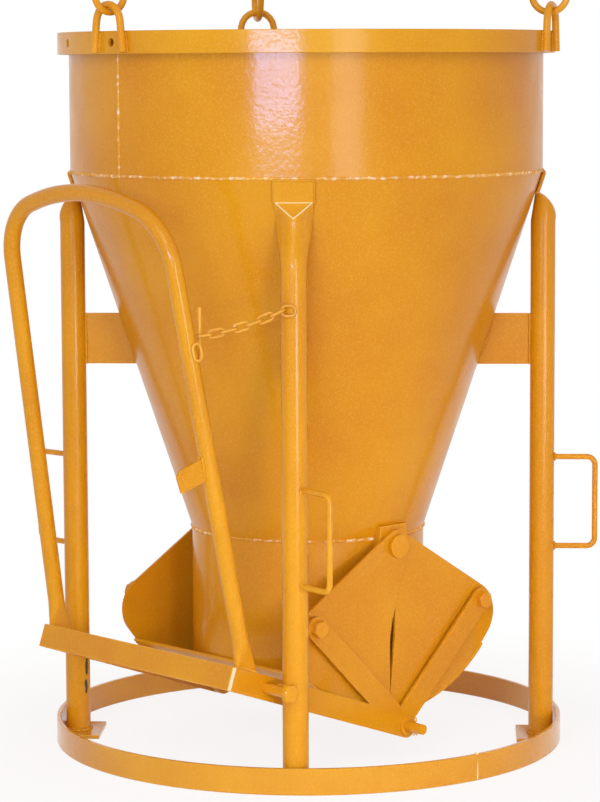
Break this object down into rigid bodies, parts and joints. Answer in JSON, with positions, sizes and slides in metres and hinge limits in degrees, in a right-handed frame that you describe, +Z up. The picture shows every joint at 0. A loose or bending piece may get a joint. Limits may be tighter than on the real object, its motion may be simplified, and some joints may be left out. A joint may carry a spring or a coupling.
{
  "type": "concrete bucket",
  "caption": "Crane bucket for concrete: cylinder and cone hopper on tube legs with a base ring, a clamshell gate under the outlet worked by a hand lever, and lifting lugs.",
  "frame": {"origin": "centre of the base ring on the floor", "axes": "+Z up, -Y to the operator's lever, +X along the gate's pivots to the side of the safety chain"},
  "size_m": [0.9999, 1.0736, 1.5525],
  "materials": {
    "paint": "gloss yellow-orange sprayed paint"
  },
  "bodies": {
    "frame": {"base_ring": "paint", "foot_plates": "paint", "leg_front_right": "paint", "leg_rear_right": "paint", "leg_rear_left": "paint", "leg_front_left": "paint", "leg_gussets": "paint", "grab_handle_front_right": "paint", "grab_handle_rear_right": "paint", "grab_handle_rear_left": "paint", "grab_handle_front_left": "paint", "outlet_tube": "paint", "hopper_cone": "paint", "hopper_cylinder": "paint", "rim_ring": "paint", "lug_front": "paint", "lug_right": "paint", "lug_left": "paint", "pivot_blocks": "paint", "gate_pivot_pins": "paint", "lever_pivot_bolts": "paint", "lever_pivot_nuts": "paint", "chain_leg_eye": "paint"},
    "lever": {"lever_arm_right": "paint", "lever_arm_left": "paint", "lever_cross_bar": "paint", "lever_handle": "paint", "catch_plate": "paint", "handle_eye": "paint", "toggle_pins": "paint", "toggle_washers": "paint", "toggle_split_pins": "paint"},
    "rear_jaw": {"rear_jaw_plate": "paint", "rear_jaw_side_right": "paint", "rear_jaw_side_left": "paint", "rear_link_bolts": "paint"},
    "front_jaw": {"front_jaw_plate": "paint", "front_jaw_side_right": "paint", "front_jaw_side_left": "paint", "front_link_bolts": "paint"},
    "rear_links": {"rear_link_right": "paint", "rear_link_left": "paint"},
    "front_links": {"front_link_right": "paint", "front_link_left": "paint"},
    "safety_chain": {"chain_links": "paint", "chain_toggle_bar": "paint"},
    "lifting_link_front": {"lifting_link_front": "paint"},
    "lifting_link_right": {"lifting_link_right": "paint"},
    "lifting_link_left": {"lifting_link_left": "paint"}
  },
  "joints": [
    {"name": "lever_pivot", "type": "hinge", "parent": "frame", "child": "lever", "pos_m": [0, -0.36047, 0.19], "axis": [1, 0, 0], "range_deg": [0, 22]},
    {"name": "rear_jaw_pivot", "type": "hinge", "parent": "frame", "child": "rear_jaw", "pos_m": [0, 0, 0.41], "axis": [1, 0, 0], "range_deg": [0, 30.1]},
    {"name": "front_jaw_pivot", "type": "hinge", "parent": "frame", "child": "front_jaw", "pos_m": [0, 0, 0.41], "axis": [1, 0, 0], "range_deg": [-16.9, 0]},
    {"name": "rear_link_pivot", "type": "hinge", "parent": "rear_jaw", "child": "rear_links", "pos_m": [0, 0.222, 0.28], "axis": [1, 0, 0], "range_deg": [-34.2, 0]},
    {"name": "front_link_pivot", "type": "hinge", "parent": "front_jaw", "child": "front_links", "pos_m": [0, -0.222, 0.28], "axis": [1, 0, 0], "range_deg": [0, 34.1]},
    {"name": "safety_chain_swing", "type": "hinge", "parent": "frame", "child": "safety_chain", "pos_m": [0.32994, -0.35999, 0.88732], "axis": [0, 0, 1], "range_deg": [-30, 0]},
    {"name": "lifting_link_front_swing", "type": "hinge", "parent": "frame", "child": "lifting_link_front", "pos_m": [0, -0.4877, 1.438], "axis": [1, 0, 0], "range_deg": [-85, 100]},
    {"name": "lifting_link_right_swing", "type": "hinge", "parent": "frame", "child": "lifting_link_right", "pos_m": [0.42236, 0.24385, 1.438], "axis": [-0.5, 0.866, 0], "range_deg": [-85, 100]},
    {"name": "lifting_link_left_swing", "type": "hinge", "parent": "frame", "child": "lifting_link_left", "pos_m": [-0.42236, 0.24385, 1.438], "axis": [-0.5, -0.866, 0], "range_deg": [-85, 100]}
  ],
  "couplings": [
    {"joint": "rear_jaw_pivot", "follows": "lever_pivot", "ratio": 1.364},
    {"joint": "front_jaw_pivot", "follows": "lever_pivot", "ratio": -0.766},
    {"joint": "rear_link_pivot", "follows": "lever_pivot", "ratio": -1.5525},
    {"joint": "front_link_pivot", "follows": "lever_pivot", "ratio": 1.547}
  ]
}
